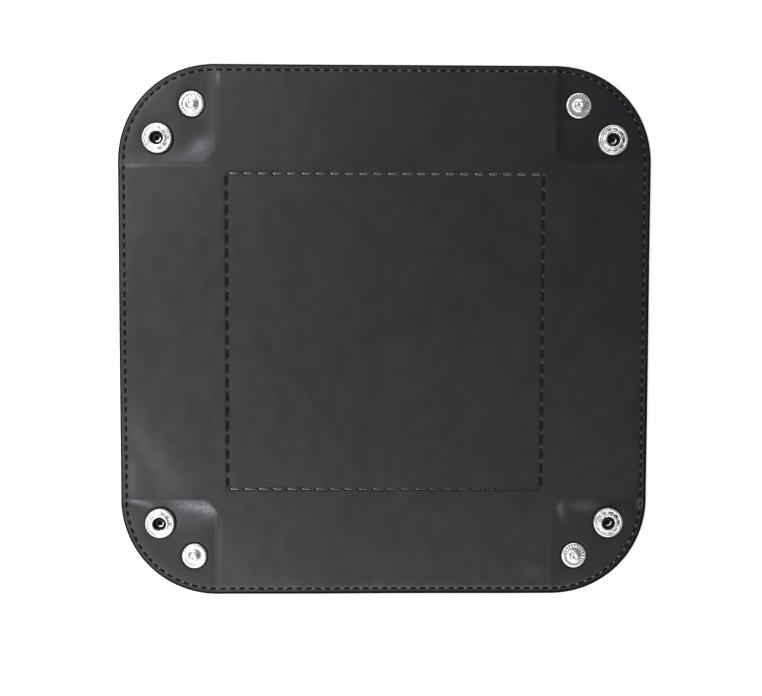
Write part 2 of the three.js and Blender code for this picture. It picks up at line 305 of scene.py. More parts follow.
def makeLeather(name, finish):
    material, tree, shader = newMaterial(name)
    place = attributeOf(tree, "flatPlace", "Vector")
    grain = useGroup(tree, grainGroup, Place=place, Cells=finish["grainCells"])["Height"]
    mottle = useGroup(tree, mottleGroup, Place=place)
    rubbedAndHighlighted = useGroup(tree, rubAndHighlightGroup, Place=place, Rub=attributeOf(tree, "rub"))["Rubbed"]
    seam = {key: attributeOf(tree, "seam" + key) for key in ("Run", "Off", "Pitch", "Lean", "Gap", "Reach")}
    holes = useGroup(tree, holeGroup, Width=finish["holeWidth"], **seam)
    edge, snap = attributeOf(tree, "edgeOff"), attributeOf(tree, "snapOff")
    shade = useGroup(tree, shadeGroup, Edge=edge, Snap=snap, Ring=finish["shadowRingWidth"])["Shade"]
    # the edge's paint, painted shadows round the snaps and painted shade beside the seams
    lined = calculate(tree, "MAXIMUM", shade, attributeOf(tree, "seamShade"))
    shaded = calculate(tree, "MAXIMUM", holes["Hole"], lined)
    plain = mixColours(tree, mottle["Clouds"], finish["dark"], finish["pale"])
    # painted highlight on the leather between stitches
    between = calculate(tree, "MULTIPLY", holes["Bridge"], attributeOf(tree, "seamHighlight"))
    rubAndHighlightColour = mixColours(tree, calculate(tree, "MAXIMUM", rubbedAndHighlighted, between), plain, finish["rubbedAndHighlighted"])
    dull = calculate(tree, "MULTIPLY_ADD", rubbedAndHighlighted, finish["rubbedDulling"], finish["roughness"])
    patchy = spread(tree, mottle["Patches"], 0.0, 1.0, *finish["coat"])
    coat = calculate(tree, "MULTIPLY", patchy, attributeOf(tree, "sheen"))
    raised = calculate(tree, "MULTIPLY", holes["Bridge"], finish["bridgeHeight"])
    pressed = calculate(tree, "MULTIPLY_ADD", holes["Hole"], -finish["holeDepth"], raised)
    normal = bump(tree, pressed, 1.0, bump(tree, grain, finish["grainDepth"]))
    fill(tree, shader, {
        "Base Color": mixColours(tree, shaded, rubAndHighlightColour, finish["shade"]),
        "Roughness": calculate(tree, "MULTIPLY_ADD", shaded, finish["shadeDulling"], dull),
        "Coat Weight": calculate(tree, "MULTIPLY", coat, calculate(tree, "SUBTRACT", 1.0, shaded)),
        "Normal": normal,
        "Coat Normal": normal,
        "Specular IOR Level": finish["specular"],
        "Coat Roughness": finish["coatRoughness"],
    })
    return material


threadFinish = {
    "dark": (0.004, 0.004, 0.0045, 1.0),
    "pale": (0.008, 0.008, 0.009, 1.0),
    "roughness": 0.25,
    "dryRoughness": 0.7,
    "specular": 0.12,
    "wax": 1.0,
    "waxIndex": 1.9,
    "layLength": 1.1,
    "plies": 2.0,
    "plyDepth": 0.008,
    "plyShade": 0.3,  # where between two plies the dark ends, and where the ply is at its highest
    "plyRound": 0.4,
}
# The edge seam's copy of the thread has darker colours, as painted shade of the pits that it lies in, and no
# wax
shadedEdgeThreadFinish = dict(threadFinish, dark=(0.0014, 0.0014, 0.0015, 1.0), pale=(0.0024, 0.0024, 0.0026, 1.0),
                        roughness=0.6, wax=0.0)


# Twisted thread: plies run slantwise round it, by the place along and round each stitch, and the wax on it
# is worn off by the share that the place's third number gives
def makeThread(name, finish):
    material, tree, shader = newMaterial(name)
    place = attributeOf(tree, "threadPlace", "Vector")
    along, around, dryness = addNode(tree, "SeparateXYZ", {0: place}).outputs
    lay = calculate(tree, "DIVIDE", along, finish["layLength"])
    turns = calculate(tree, "MULTIPLY_ADD", around, finish["plies"], lay)
    ply = calculate(tree, "PINGPONG", turns, 0.5)
    lit = spread(tree, ply, 0.0, finish["plyShade"])
    waxed = calculate(tree, "SUBTRACT", 1.0, dryness)
    fill(tree, shader, {
        "Base Color": mixColours(tree, lit, finish["dark"], finish["pale"]),
        "Normal": bump(tree, spread(tree, ply, 0.0, finish["plyRound"]), finish["plyDepth"]),
        "Roughness": spread(tree, dryness, 0.0, 1.0, finish["roughness"], finish["dryRoughness"]),
        "Coat Weight": calculate(tree, "MULTIPLY", waxed, finish["wax"]),
        "Specular IOR Level": finish["specular"],
        "Coat IOR": finish["waxIndex"],
        "Coat Roughness": finish["roughness"],
    })
    return material


nickelFinish = {"plate": (0.90, 0.89, 0.87, 1.0), "tarnishAndShade": (0.035, 0.034, 0.033, 1.0), "metallic": 0.75,
                "roughness": (0.26, 0.36), "scratchDulling": 0.5, "scratchDepth": 0.003}
steelFinish = dict(nickelFinish, plate=(0.60, 0.61, 0.62, 1.0), tarnishAndShade=(0.10, 0.10, 0.10, 1.0),
                   metallic=1.0, roughness=(0.20, 0.38))


# Bright metal, darker and duller where the recess attribute says that dirt and shade collect
def makeMetal(name, finish):
    material, tree, shader = newMaterial(name)
    place = addNode(tree, "TexCoord").outputs["Object"]
    scratches = useGroup(tree, scratchGroup, Place=place)["Scratches"]
    recess = attributeOf(tree, "recess")
    scratched = calculate(tree, "MULTIPLY", scratches, finish["scratchDulling"])
    dull = calculate(tree, "MAXIMUM", recess, scratched)
    fill(tree, shader, {
        "Base Color": mixColours(tree, recess, finish["plate"], finish["tarnishAndShade"]),
        "Roughness": spread(tree, dull, 0.0, 1.0, *finish["roughness"]),
        "Normal": bump(tree, scratches, finish["scratchDepth"]),
        "Metallic": finish["metallic"],
    })
    return material


boardFinish = {"grey": (0.22, 0.19, 0.155, 1.0), "fleck": (0.34, 0.31, 0.26, 1.0), "fleckRange": (0.45, 0.7),
               "fibreScale": (900.0, 260.0, 900.0), "fibreDetail": 4.0, "fibreDepth": 0.08,
               "roughness": (0.95, 0.8)}


def makeBoard():
    material, tree, shader = newMaterial("pressedBoard")
    place = addNode(tree, "TexCoord").outputs["Object"]
    fibres = stretchedNoise(tree, place, boardFinish["fibreScale"], boardFinish["fibreDetail"])
    fleck = spread(tree, fibres, *boardFinish["fleckRange"])
    fill(tree, shader, {
        "Base Color": mixColours(tree, fleck, boardFinish["grey"], boardFinish["fleck"]),
        "Roughness": spread(tree, fleck, 0.0, 1.0, *boardFinish["roughness"]),
        "Normal": bump(tree, fibres, boardFinish["fibreDepth"]),
    })
    return material


liningLeather = makeLeather("liningLeather", liningFinish)
coverLeather = makeLeather("coverLeather", coverFinish)
seamThread = makeThread("seamThread", threadFinish)
shadedEdgeThread = makeThread("shadedEdgeThread", shadedEdgeThreadFinish)
nickelPlate = makeMetal("nickelPlate", nickelFinish)
springSteel = makeMetal("springSteel", steelFinish)
frame["nodes"]["base_board"].data.materials.clear()
frame["nodes"]["base_board"].data.materials.append(makeBoard())
print("materials made")


# Meshes
meshing = {"weld": 1e-6, "sharpAngle": math.radians(42), "leastStep": 0.3}  # as a share of the finest step


def addObject(name, data):
    made = bpy.data.objects.new(name, data)
    bpy.context.scene.collection.objects.link(made)
    return made


# Faces come in groups of arrays with one row of vertex numbers a face
def makePiece(name, points, faces, material, slotName, **attributes):
    mesh = bpy.data.meshes.new(name)
    mesh.vertices.add(len(points))
    mesh.vertices.foreach_set("co", np.ravel(points * millimetre))
    counts = np.concatenate([np.full(len(group), group.shape[1]) for group in faces])
    mesh.loops.add(int(counts.sum()))
    mesh.loops.foreach_set("vertex_index", np.concatenate([np.ravel(group) for group in faces]))
    mesh.polygons.add(len(counts))
    mesh.polygons.foreach_set("loop_start", np.cumsum(counts) - counts)
    mesh.update(calc_edges=True)
    for key, values in attributes.items():
        vector = values.ndim == 2
        made = mesh.attributes.new(key, "FLOAT_VECTOR" if vector else "FLOAT", "POINT")
        made.data.foreach_set("vector" if vector else "value", np.ravel(values).astype(np.float32))
    tidy = bmesh.new()
    tidy.from_mesh(mesh)
    bmesh.ops.remove_doubles(tidy, verts=tidy.verts, dist=meshing["weld"])
    bmesh.ops.recalc_face_normals(tidy, faces=tidy.faces)
    tidy.to_mesh(mesh)
    tidy.free()
    mesh.shade_smooth()
    mesh.set_sharp_from_angle(angle=meshing["sharpAngle"])
    mesh.materials.append(material)
    return addObject(name, mesh)


# The quads of a grid of points, or of several
def gridCells(index):
    low, high = index[..., :-1, :], index[..., 1:, :]
    return np.stack([low[..., :-1], high[..., :-1], high[..., 1:], low[..., 1:]], axis=-1)


# The same for a grid whose rows close into rings
def tubeCells(index):
    return gridCells(np.concatenate([index, index[..., :1]], axis=-1)).reshape(-1, 4)


# A slab's upper and lower grid, with a side face wherever a kept cell meets a missing one
def slabFaces(kept):
    shape = (kept.shape[0] + 1, kept.shape[1] + 1)
    over = np.arange(shape[0] * shape[1]).reshape(shape)
    under = over + over.size
    fenced = np.pad(kept, 1)
    rowEdge = fenced[1:, 1:-1] != fenced[:-1, 1:-1]
    columnEdge = fenced[1:-1, 1:] != fenced[1:-1, :-1]
    rowSides = np.stack([over[:, :-1], over[:, 1:], under[:, 1:], under[:, :-1]], axis=-1)[rowEdge]
    columnSides = np.stack([over[:-1], over[1:], under[1:], under[:-1]], axis=-1)[columnEdge]
    return [gridCells(over)[kept], gridCells(under)[kept][:, ::-1], rowSides, columnSides]


# Places along a line, closer together on some stretches of it
def places(low, high, step, finer=()):
    lines = [np.linspace(low, high, max(2, math.ceil((high - low) / step) + 1))]
    for start, end, fineStep in finer:
        lines.append(np.linspace(start, end, math.ceil((end - start) / fineStep) + 1))
    merged = np.unique(np.round(np.concatenate(lines), 6))
    least = min([step] + [fineStep for _, _, fineStep in finer]) * meshing["leastStep"]
    far = np.concatenate([[True], np.diff(merged) > least])
    far[-1] = True
    return merged[far]


# Goes from 0 to 1 between two values, level at both ends
def smooth(low, high, value):
    share = np.clip((value - low) / (high - low), 0, 1)
    return share * share * (3 - 2 * share)


# The leather sheet's form, shared by every panel
sheetForm = {
    "hem": (6.4, 0.20),  # how far in from the edge the sheet droops, and by how much
    "edgeRound": (0.8, 0.42),  # how far in from the edge the rounding starts, and its drop
    "lowEdgeRound": (0.5, 0.3),
    "paintAndShadeLap": (0.85, 1.6),  # the least and the most that the edge's paint covers; the extra is painted shade
    "paintShadeToward": (0.7, -0.75),  # the way in which it covers more
    "paintShadeReach": (-0.4, 0.9),  # where that starts and ends, as shares of half the tray
    "lowSeamShare": 0.6,  # how far the seam sinks into the cover, against the lining
    "wallLift": {"back": -0.25, "left": -0.15, "front": -0.15, "right": -0.25},  # at the outer edges
    # Height, length and start of the wave along each wall
    "wallWave": {"back": (0.12, 90, 0.3), "left": (0.15, 110, 1.9), "front": (0.12, 75, 4.0),
                 "right": (0.14, 100, 2.6)},
    "cornerTwist": {"back_left": 1.1, "front_left": 0.9, "front_right": 1.1, "back_right": 1.7},
    # How high the roll is by the crease that runs from front to back, and by the one from left to right
    "cornerRoll": {"back_left": (-0.12, -0.10), "front_left": (0.0, 0.26), "front_right": (-0.12, 0.08),
                   "back_right": (-0.26, -0.04)},
    "rollReach": (3.4, 14.0),  # how far in from the creases the roll is highest, and where it ends
    "rollCut": 4.5,  # how far the roll is cut across where two creases meet
    "cornerSheen": {"back_left": 1.0, "front_left": 0.62, "front_right": 0.72, "back_right": 0.42},
    "sheenEnd": (-0.5, 2.0),  # over which distances in from a corner's creases its sheen sets in
    "rubEnd": (-0.3, 0.5),  # the same for marks that end at the creases
    "creaseRidge": (0.035, 0.7),  # height and half width of the ridge where a flap folds
    "ridgeStart": 0.2,  # the share of a wall's height over which the ridge grows
    "snapPress": 0.12,  # how deep a snap sinks into the leather
    "snapEase": (-0.3, 1.2),  # between which distances from its rim that ends
}
# Each seam's dip and its half width, how much deeper it is at the holes, half the gap between two stitches,
# the holes' half length, how dark the painted shade in its lines is, and how much painted highlight the
# leather between stitches gets
edgeSeam = {"depth": 0.09, "half": 0.52, "pucker": -0.5, "gap": 0.75, "reach": 0.42, "shade": 0.0,
            "pale": 0.3, "frontHighlight": 0.8, "wallStitches": 35, "flapStitches": 7, "stripStitches": 2}
baseSeam = {"depth": 0.09, "half": 0.60, "pucker": -0.4, "gap": 0.36, "reach": 0.72, "shade": 0.75,
            "pale": 0.2, "sideHighlight": 0.75, "stitches": 22,
            # How dry the thread is at the start and at the end of each row, going round anticlockwise
            "dry": {"back": (0.0, 0.0), "left": (1.0, 1.0), "front": (0.0, 0.8), "right": (1.0, 1.0)}}
seamLines = {"off": 0.58, "half": 0.33, "fade": 0.5}  # painted shade in lines beside a thread


# Distance in from the sheet's outer edge, which is a square with round corners
def edgeInset(x, y):
    overX, overY = np.abs(x) - creaseHalf, np.abs(y) - creaseHalf
    beyond = np.hypot(np.maximum(overX, 0), np.maximum(overY, 0))
    return wallHeight - beyond - np.minimum(np.maximum(overX, overY), 0)


# Distance in from the creases round a corner's square, which are cut across where they meet
def cornerDepth(x, y):
    inX, inY = np.abs(x) - creaseHalf, np.abs(y) - creaseHalf
    return np.minimum(np.minimum(inX, inY), (inX + inY - sheetForm["rollCut"]) / math.sqrt(2))


def cornerHere(name, x, y):
    point = cornerPlaces[name]["point"]
    return (x * point[0] > 0) & (y * point[1] > 0)


# Walls droop with the square of the distance past their crease, with a slow wave along them, and the hem
# droops further. Corners twist up by the product of the distances past both creases, with a soft roll
# inside the creases that the flaps fold on and a low ridge along them.
def sheetRise(x, y):
    pastX = np.maximum(np.abs(x) - creaseHalf, 0) / wallHeight
    pastY = np.maximum(np.abs(y) - creaseHalf, 0) / wallHeight
    rise = np.zeros_like(x)
    for side, past, along, here in (("back", pastY, x, y > 0), ("front", pastY, x, y < 0),
                                    ("left", pastX, y, x < 0), ("right", pastX, y, x > 0)):
        size, length, start = sheetForm["wallWave"][side]
        wave = size * np.sin(2 * np.pi * np.clip(along, -creaseHalf, creaseHalf) / length + start)
        rise += here * past**2 * (sheetForm["wallLift"][side] + wave)
    top, end = sheetForm["rollReach"]
    depth = cornerDepth(x, y)
    roll = smooth(0, top, depth) * (1 - smooth(top, end, depth))
    share = pastY / np.maximum(pastX + pastY, tiny)
    for name in corners:
        alongY, alongX = sheetForm["cornerRoll"][name]
        twist = sheetForm["cornerTwist"][name] * pastX * pastY
        rise += cornerHere(name, x, y) * (twist + (alongY * share + alongX * (1 - share)) * roll)
    reach, droop = sheetForm["hem"]
    rise -= droop * np.clip(1 - edgeInset(x, y) / reach, 0, 1) ** 2
    height, half = sheetForm["creaseRidge"]
    for across, past in ((x, pastY), (y, pastX)):
        ridge = height * np.exp(-(((np.abs(across) - creaseHalf) / half) ** 2))
        rise += ridge * smooth(0, sheetForm["ridgeStart"], past)
    return rise


# A seam draws the leather down along its line, at the needle holes more or less than between them
def seamDip(seam, run, off):
    pucker = 1 + seam["pucker"] * np.cos(2 * np.pi * run)
    return seam["depth"] * np.exp(-((off / seam["half"]) ** 2)) * pucker


# Distance from the rim of the nearest snap, negative under it
def snapOffset(x, y):
    rims = []
    for name, centre in snapCentres.items():
        radius = boxOf(name)[1][0] - centre[0]
        rims.append(np.hypot(x - centre[0], y - centre[1]) - radius)
    return np.min(rims, axis=0)


def snapDip(x, y):
    return sheetForm["snapPress"] * (1 - smooth(*sheetForm["snapEase"], snapOffset(x, y)))


# An edge rounds off as a quarter of an ellipse
def edgeDrop(inset, form):
    reach, drop = form
    return drop * (1 - np.sqrt(1 - np.clip((reach - inset) / reach, 0, 1) ** 2))


def liningTop(x, y, seam, place):
    dip = seamDip(seam, place["seamRun"], place["seamOff"]) + snapDip(x, y)
    return faceZ + sheetRise(x, y) - edgeDrop(edgeInset(x, y), sheetForm["edgeRound"]) - dip


def layerMiddle(x, y, sign):
    return layerZ + sheetRise(x, y) + sign * edgeDrop(edgeInset(x, y), sheetForm["lowEdgeRound"])


def coverLow(x, y, seam, place):
    dip = seamDip(seam, place["seamRun"], place["seamOff"]) * sheetForm["lowSeamShare"]
    return coverZ + sheetRise(x, y) + edgeDrop(edgeInset(x, y), sheetForm["edgeRound"]) + dip


# Pale marks, partly rubbing from folding and handling and partly painted highlights along the creases and on
# the left wall: centre, half sizes, tilt in degrees, weight, and whether the mark ends at the creases round a
# corner
rubAndHighlightMarks = [
    (-62.6, 95.3, 0.8, 2.2, 0, 0.75, False),
    (-62.8, 82.0, 0.7, 12.0, 0, 0.22, False),
    (-95.0, 62.3, 5.0, 0.7, 0, 0.55, False),
    (-82.0, 62.6, 14.0, 0.8, 0, 0.25, False),
    (-69.0, 70.0, 4.2, 2.2, 35, 0.62, False),
    (-72.0, 66.0, 9.0, 3.4, 10, 0.32, True),
    (-92.5, -64.6, 6.0, 1.3, -14, 0.85, True),
    (-72.5, -65.8, 9.0, 2.6, -6, 0.85, True),
    (-66.0, -68.0, 4.0, 3.6, -20, 0.55, True),
    (-77.0, -71.0, 8.0, 5.0, -15, 0.20, True),
    (-95.5, -56.0, 1.6, 8.0, 0, 0.24, False),
    (-85.5, -50.0, 14.0, 4.2, -56, 0.18, False),
    (-92.0, -42.0, 11.0, 2.4, -66, 0.12, False),
    (-62.6, -84.0, 0.5, 14.0, 0, 0.26, False),
    (67.0, -66.8, 1.2, 3.4, 12, 0.42, True),
    (76.0, -66.0, 5.5, 1.8, 0, 0.28, True),
    (97.8, -65.4, 1.2, 1.6, 0, 0.60, True),
    (57.0, -92.0, 5.0, 2.0, 0, 0.12, False),
]


def rubAndHighlightAt(x, y):
    total = np.zeros_like(x)
    inside = smooth(*sheetForm["rubEnd"], cornerDepth(x, y))
    for centreX, centreY, halfX, halfY, tilt, weight, ends in rubAndHighlightMarks:
        along, up = x - centreX, y - centreY
        turn = math.radians(tilt)
        across = (along * math.cos(turn) + up * math.sin(turn)) / halfX
        upward = (up * math.cos(turn) - along * math.sin(turn)) / halfY
        total += weight * np.exp(-(across**2 + upward**2)) * (inside if ends else 1)
    return np.minimum(total, 1)


# The coat is worn duller on the corners, on each by its own share
def sheenAt(x, y):
    inside = smooth(*sheetForm["sheenEnd"], cornerDepth(x, y))
    lost = [cornerHere(name, x, y) * (1 - sheen) for name, sheen in sheetForm["cornerSheen"].items()]
    return 1 - inside * sum(lost)


# How far the edge's paint laps on to the face, further towards the front and the right, where the extra width
# is painted shade
def paintAndShadeLap(x, y):
    narrow, wide = sheetForm["paintAndShadeLap"]
    towardX, towardY = sheetForm["paintShadeToward"]
    start, end = (share * outerHalf for share in sheetForm["paintShadeReach"])
    return narrow + (wide - narrow) * smooth(start, end, x * towardX + y * towardY)


# What the leather's finish reads at each point: its place on the flat sheet, rubs and painted highlights,
# edge, snaps and seam.
# The seam's values are for one grid of points, which each layer of the piece repeats.
def leatherMarks(points, seamPlace, grid, rubsAndHighlights=True):
    x, y = points[:, 0], points[:, 1]
    marks = {"flatPlace": points, "rub": rubAndHighlightAt(x, y) * rubsAndHighlights, "sheen": sheenAt(x, y),
             "edgeOff": edgeInset(x, y) / paintAndShadeLap(x, y), "snapOff": snapOffset(x, y)}
    layers = len(points) // math.prod(grid)
    for key, values in seamPlace.items():
        marks[key] = np.tile(np.ravel(np.broadcast_to(values, grid)), layers)
    return marks


# A panel of leather: upper and lower grid, each of x, y and z
def makePanel(name, upper, lower, seamPlace, material, slotName, kept=None, rubsAndHighlights=True):
    grid = upper[0].shape
    if kept is None:
        kept = np.ones((grid[0] - 1, grid[1] - 1), bool)
    points = np.concatenate([np.stack(layer, axis=-1).reshape(-1, 3) for layer in (upper, lower)])
    marks = leatherMarks(points, seamPlace, grid, rubsAndHighlights)
    return makePiece(name, points, slabFaces(kept), material, slotName, **marks)


# Where a point lies by a seam: stitches along it, millimetres off it, a stitch's length, the holes' lean,
# half the gap between stitches, the holes' half length, the painted shade in lines beside the thread, and how
# far the leather stretched between two stitches goes to the pale colour, as a painted highlight
def seamMarksAt(seam, run, off, pitch, lean=0.0):
    beside = np.exp(-(((np.abs(off) - seamLines["off"]) / seamLines["half"]) ** 2))
    fromHole = np.abs(run - np.round(run)) * pitch
    along = smooth(seam["gap"], seam["gap"] + seamLines["fade"], fromHole)
    return {"seamRun": run, "seamOff": off, "seamPitch": pitch, "seamLean": lean, "seamGap": seam["gap"],
            "seamReach": seam["reach"], "seamShade": seam["shade"] * beside * along, "seamHighlight": seam["pale"]}


# The leather between the edge seam's stitches gets more painted highlight along the front
def edgeSeamPlace(x, y, run, pitch):
    marks = seamMarksAt(edgeSeam, run, edgeInset(x, y) - edgeSeamInset, pitch)
    atFront = smooth(-creaseHalf, -outerHalf + edgeSeamInset, y)
    return dict(marks, seamHighlight=edgeSeam["pale"] + (edgeSeam["frontHighlight"] - edgeSeam["pale"]) * atFront)


# The leather between the base seam's stitches gets more painted highlight at the sides
def baseSeamPlace(x, y):
    pitch = 2 * baseSeamHalf / baseSeam["stitches"]
    atSides = np.abs(x) > np.abs(y)
    off = np.maximum(np.abs(x), np.abs(y)) - baseSeamHalf
    marks = seamMarksAt(baseSeam, np.where(atSides, y, x) / pitch, off, pitch, -np.sign(x + y))
    return dict(marks, seamHighlight=np.where(atSides, baseSeam["sideHighlight"], baseSeam["pale"]))


# Base: a square grid. The lining is flat over the board, and the cover is a dish round it.
baseForm = {"step": 0.92, "seamReach": 2.4, "seamStep": 0.3, "shoulder": (-0.75, 1.3), "pocket": (0.05, 1.05)}


def makeBase():
    reach = baseForm["seamReach"]
    near, far = baseSeamHalf - reach, baseSeamHalf + reach
    fine = [(near, far, baseForm["seamStep"]), (-far, -near, baseForm["seamStep"])]
    lines = places(-creaseHalf, creaseHalf, baseForm["step"], fine)
    x, y = np.meshgrid(lines, lines, indexing="ij")
    seamPlace = baseSeamPlace(x, y)
    lining = makePanel("base_lining_leather", (x, y, liningTop(x, y, baseSeam, seamPlace)),
                       (x, y, layerMiddle(x, y, 1)), seamPlace, liningLeather, "lining_leather")
    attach(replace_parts(lining, "base_lining"), "base")
    square = np.maximum(np.abs(x), np.abs(y)) - boardHigh[0]
    rest = smooth(*baseForm["shoulder"], square)  # 0 under the board, 1 at the walls' level
    low = coverLow(x, y, baseSeam, seamPlace) * rest
    inner = boardLow[2] + (layerZ - boardLow[2]) * smooth(*baseForm["pocket"], square)
    cover = makePanel("base_cover_leather", (x, y, inner), (x, y, low), seamPlace, coverLeather,
                      "cover_leather", rubsAndHighlights=False)
    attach(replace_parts(cover, "base_cover"), "base")


# Distances past the crease at which the rim and its seam are drawn, given from the edge inward
rimForm = {"width": 5.0, "step": 0.5, "finer": [(0, 0.4, 0.1), (0.4, 1.4, 0.25), (1.4, 2.8, 0.14)]}
rimLines = wallHeight - places(0, rimForm["width"], rimForm["step"], rimForm["finer"])[::-1]


# All such distances for a wall or a flap, closer together where they start
def linesOut(start, step, fineEnd, fineStep):
    body = places(start, wallHeight - rimForm["width"], step, [(start, fineEnd, fineStep)])
    return np.unique(np.concatenate([body, rimLines]))


# The lining and the cover of a wall or a flap. Each face has its own places in the sheet's plane.
def makeLeathers(name, top, inner, low, seamPlace, kept=None):
    lining = makePanel(f"{name}_lining_leather", (*top, liningTop(*top, edgeSeam, seamPlace)),
                       (*top, layerMiddle(*top, 1)), seamPlace, liningLeather, "lining_leather", kept)
    cover = makePanel(f"{name}_cover_leather", (*inner, layerMiddle(*inner, -1)),
                      (*low, coverLow(*low, edgeSeam, seamPlace)), seamPlace, coverLeather,
                      "cover_leather", kept, rubsAndHighlights=False)
    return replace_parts(lining, f"{name}_lining"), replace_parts(cover, f"{name}_cover")


# Turns points of the back wall, along and outward, to a side
def atSide(side, along, outward):
    turn = sides.index(side) * math.pi / 2
    x = along * math.cos(turn) - outward * math.sin(turn)
    return x, along * math.sin(turn) + outward * math.cos(turn)


def blendAcross(piece):
    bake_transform(piece)


# Walls: a grid of places along the crease and distances past it.
wallForm = {"stepsPerStitch": 6, "endFine": 2.5, "endStep": 0.3, "bend": 2.2, "bendStep": 0.2,
            "bodyStep": 1.6}
wallLines = linesOut(0, wallForm["bodyStep"], wallForm["bend"], wallForm["bendStep"])


def makeWall(side):
    end, fine = creaseHalf, wallForm["endFine"]
    pitch = 2 * end / edgeSeam["wallStitches"]
    ends = [(-end, fine - end, wallForm["endStep"]), (end - fine, end, wallForm["endStep"])]
    lines = places(-end, end, pitch / wallForm["stepsPerStitch"], ends)
    along, past = np.meshgrid(lines, wallLines, indexing="ij")
    place = atSide(side, along, creaseHalf + past)
    seamPlace = edgeSeamPlace(*place, (along + end) / pitch, pitch)
    for piece in makeLeathers(f"{side}_wall", place, place, place, seamPlace):
        blendAcross(piece)


# Flaps: a grid of distances from the corner's point and angles from its diagonal. They lie between a wall's
# end and the corner's fold strip.
flapForm = {"tip": 0.05, "tipFine": 4.0, "tipStep": 0.4, "bodyStep": 1.3, "step": math.radians(1.1),
            "endFine": math.radians(7), "endStep": math.radians(0.4), "bend": 3.6,
            "studHole": 1.3, "socketHole": 2.0}
stripForm = {"bend": 1.5, "tongue": 1.7, "lip": 1.0, "tongueFrom": 2.0, "tongueFull": 10.0, "topPoints": 9,
             "downward": -0.3}  # faces that look down by more than this are the cover's leather
flapRadii = linesOut(flapForm["tip"], flapForm["bodyStep"], flapForm["tipFine"], flapForm["tipStep"])


# Which way round the corner a flap lies from its diagonal
def flapTurn(name, kind):
    return cornerPlaces[name]["studTurn"] * (1 if kind == "stud" else -1)


# Points by their distance from a corner's point and their angle from its diagonal
def roundCorner(name, radius, angle):
    corner = cornerPlaces[name]
    way = heading(corner["diagonal"] + angle)
    return corner["point"][0] + radius * way[..., 0], corner["point"][1] + radius * way[..., 1]


# The fold strip's cover has a tongue above the socket flap's cover, and the flap's has a lip below the
# strip's, so that the folded ear's edge stays closed. Both are given as angles round the corner's point.
def lapAngle(part, radius):
    return stripForm[part] * smooth(stripForm["tongueFrom"], stripForm["tongueFull"], radius) / radius


def cellMiddles(values):
    return (values[:-1, :-1] + values[1:, :-1] + values[1:, 1:] + values[:-1, 1:]) / 4


def makeFlap(name, kind):
    turn = flapTurn(name, kind)
    fine = [(halfCorner - flapForm["endFine"], halfCorner, flapForm["endStep"])]
    lines = places(stripHalf, halfCorner, flapForm["step"], fine)
    radius, angle = np.meshgrid(flapRadii, lines, indexing="ij")
    share = (angle - stripHalf) / (halfCorner - stripHalf)
    x, y = roundCorner(name, radius, turn * angle)
    pitch = (halfCorner - stripHalf) * (wallHeight - edgeSeamInset) / edgeSeam["flapStitches"]
    seamPlace = edgeSeamPlace(x, y, share * edgeSeam["flapStitches"], pitch)
    lap = 1 - share if kind == "socket" else 0
    inner = roundCorner(name, radius, turn * (angle + lap * lapAngle("tongue", radius)))
    low = roundCorner(name, radius, turn * (angle - lap * lapAngle("lip", radius)))
    centre = snapCentres[f"{name}_{kind}"]
    kept = np.hypot(cellMiddles(x) - centre[0], cellMiddles(y) - centre[1]) > flapForm[f"{kind}Hole"]
    for piece in makeLeathers(f"{name}_{kind}_flap", (x, y), inner, low, seamPlace, kept):
        bendFlap(piece)


def bendFlap(piece):
    blendAcross(piece)


def bendStrip(piece):
    blendAcross(piece)


# The strip's section is a closed loop, carried outward along the corner's middle line: across the top,
# down beside the socket's flap, out along the tongue, back under it and across the bottom
def makeStrip(name):
    across = np.linspace(1, -1, stripForm["topPoints"])
    share = np.concatenate([across, [-1, -1], across[::-1]])
    tongue = np.concatenate([np.zeros(len(across)), [0, 1], np.zeros(len(across))])
    cut = np.concatenate([np.zeros(len(across) + 2), (1 + across) / 2])  # room for the flap's lip
    level = np.concatenate([np.full(len(across), 2), [1, 1], np.zeros(len(across), int)])
    radius = flapRadii[:, None]
    angle = share * stripHalf - tongue * lapAngle("tongue", radius) + cut * lapAngle("lip", radius)
    x, y = roundCorner(name, radius, cornerPlaces[name]["studTurn"] * angle)
    pitch = 2 * stripHalf * (wallHeight - edgeSeamInset) / edgeSeam["stripStitches"]
    run = (share + 1) / 2 * edgeSeam["stripStitches"] + np.zeros_like(radius)
    seamPlace = edgeSeamPlace(x, y, run, pitch)
    bottom, top = coverLow(x, y, edgeSeam, seamPlace), liningTop(x, y, edgeSeam, seamPlace)
    z = np.choose(np.broadcast_to(level, x.shape), [bottom, layerMiddle(x, y, 0), top])
    points = np.stack([x, y, z], axis=-1).reshape(-1, 3)
    index = np.arange(x.size).reshape(x.shape)
    faces = [tubeCells(index), index[:1], index[-1:, ::-1]]
    strip = makePiece(f"{name}_fold_strip_leather", points, faces, liningLeather, "lining_leather",
                      **leatherMarks(points, seamPlace, x.shape))
    normals = np.empty(3 * len(strip.data.polygons))
    strip.data.polygons.foreach_get("normal", normals)
    strip.data.materials.append(coverLeather)
    looksDown = normals[2::3] < stripForm["downward"]
    strip.data.polygons.foreach_set("material_index", looksDown.astype(np.int32))
    bendStrip(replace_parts(strip, f"{name}_fold_strip"))


makeBase()
for side in sides:
    makeWall(side)
for name in corners:
    makeFlap(name, "stud")
    makeFlap(name, "socket")
    makeStrip(name)
print("leather panels made")


# Stitches: an oval thread comes up through one hole, lies along the seam and goes down through the next
baseStitch = {"length": 4.40, "width": 1.20, "thick": 0.80, "rise": -0.20, "sink": 0.50, "taper": 0.3,
              "slant": 0.0, "rings": 11, "sides": 12}
edgeStitch = {"length": 1.95, "width": 0.92, "thick": 0.50, "rise": -0.02, "sink": 0.22, "taper": 0.6,
              "slant": -8.0, "rings": 7, "sides": 8}


